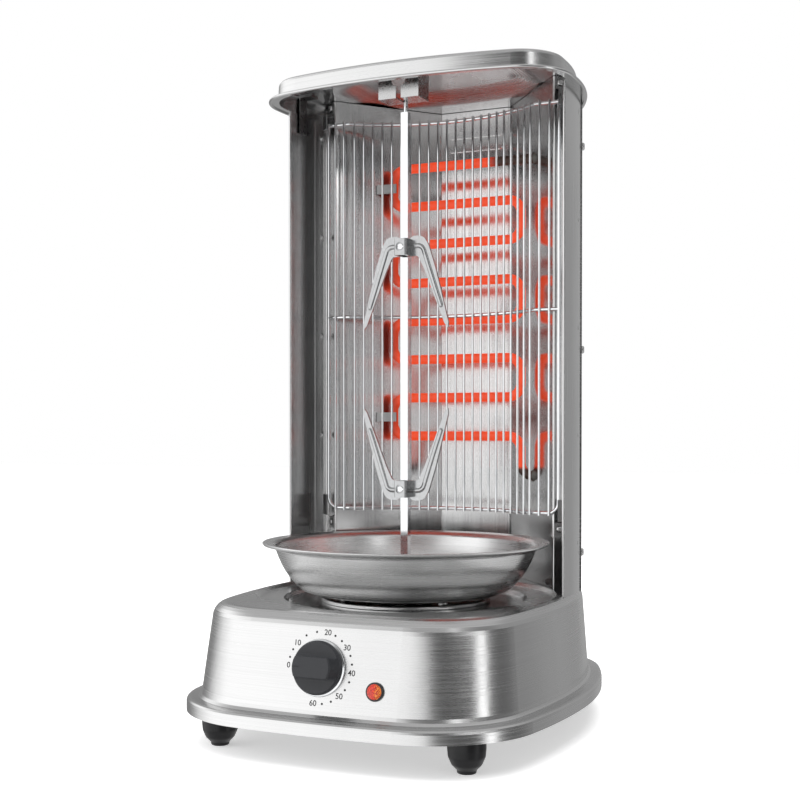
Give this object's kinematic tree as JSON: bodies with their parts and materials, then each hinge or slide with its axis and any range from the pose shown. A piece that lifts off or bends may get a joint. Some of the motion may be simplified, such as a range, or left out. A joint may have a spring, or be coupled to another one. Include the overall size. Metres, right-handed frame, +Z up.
{
  "type": "rotisserie oven",
  "caption": "Upright countertop rotisserie oven: a square spit with forks turns before a grille-guarded heater, over a lift-out drip pan on a base with a timer.",
  "frame": {"origin": "on the surface it stands on, under the middle of the footprint; the spit's axis stands 11.6 mm in front of it", "axes": "+Z up, along the spit; -Y to the open front with the knob; +X to the right seen from the front"},
  "size_m": [0.29, 0.3544, 0.528],
  "materials": {
    "brushed_steel": "brushed",
    "polished_steel": "polished sheet",
    "bright_wire": "bright plated",
    "zinc_steel": "zinc plated",
    "screw_steel": "plated",
    "rubber_black": "moulded",
    "knob_black": "fine matte",
    "black_plastic": "moulded",
    "cream_plastic": "moulded",
    "lamp_red": "clear red",
    "ceramic": "unglazed ceramic",
    "heater_glow": "oxidised steel sheath, glowing"
  },
  "bodies": {
    "housing": {"base_housing": "brushed_steel", "base_bottom": "zinc_steel", "feet": "rubber_black", "foot_screws": "screw_steel", "pan_seat": "polished_steel", "knob_ring": "bright_wire", "timer_body": "zinc_steel", "lamp_bezel": "black_plastic", "lamp_lens": "lamp_red", "drive_motor": "zinc_steel", "gear_head": "zinc_steel", "motor_bracket": "zinc_steel", "motor_screws": "screw_steel", "drive_bush": "black_plastic", "terminal_block": "cream_plastic", "cord_gland": "black_plastic", "left_wall": "brushed_steel", "right_wall": "brushed_steel", "rear_cover": "brushed_steel", "wall_screws": "screw_steel", "wall_rivets": "screw_steel", "reflector_left": "polished_steel", "reflector_right": "polished_steel", "reflector_rear": "polished_steel", "lid": "brushed_steel", "spit_bracket": "polished_steel", "bracket_screws": "screw_steel", "lid_angles": "zinc_steel", "grille_frame": "bright_wire", "grille_wires": "bright_wire", "grille_clips": "zinc_steel", "flange_screws": "screw_steel", "heater_element": "heater_glow", "heater_bushes": "ceramic", "heater_clips": "zinc_steel", "heater_clip_screws": "screw_steel"},
    "timer": {"timer_knob": "knob_black", "timer_shaft": "screw_steel"},
    "drive": {"drive_coupling": "screw_steel"},
    "spit": {"spit_rod": "bright_wire"},
    "upper_fork": {"upper_fork": "bright_wire"},
    "lower_fork": {"lower_fork": "bright_wire"},
    "upper_fork_screw": {"upper_fork_screw": "bright_wire"},
    "lower_fork_screw": {"lower_fork_screw": "bright_wire"},
    "drip_pan": {"drip_pan": "brushed_steel"}
  },
  "joints": [
    {"name": "timer_turn", "type": "hinge", "parent": "housing", "child": "timer", "pos_m": [0, -0.15909, 0.069], "axis": [0, 0.9832, -0.1826], "range_deg": [0, 276]},
    {"name": "drive_spin", "type": "hinge", "parent": "housing", "child": "drive", "pos_m": [0, -0.0116, 0.09], "axis": [0, 0, 1], "continuous": true},
    {"name": "spit_lift", "type": "slide", "parent": "drive", "child": "spit", "axis": [0, 0, 1], "range_m": [0, 0.0078]},
    {"name": "upper_fork_slide", "type": "slide", "parent": "spit", "child": "upper_fork", "axis": [0, 0, 1], "range_m": [-0.02, 0.08]},
    {"name": "lower_fork_slide", "type": "slide", "parent": "spit", "child": "lower_fork", "axis": [0, 0, 1], "range_m": [0, 0.03]},
    {"name": "upper_fork_screw_turn", "type": "hinge", "parent": "upper_fork", "child": "upper_fork_screw", "pos_m": [0, -0.0231, 0.377], "axis": [0, -1, 0], "range_deg": [0, 720]},
    {"name": "lower_fork_screw_turn", "type": "hinge", "parent": "lower_fork", "child": "lower_fork_screw", "pos_m": [0, -0.0231, 0.187], "axis": [0, -1, 0], "range_deg": [0, 720]},
    {"name": "drip_pan_lift", "type": "slide", "parent": "housing", "child": "drip_pan", "axis": [0, 0, 1], "range_m": [0, 0.015]}
  ]
}
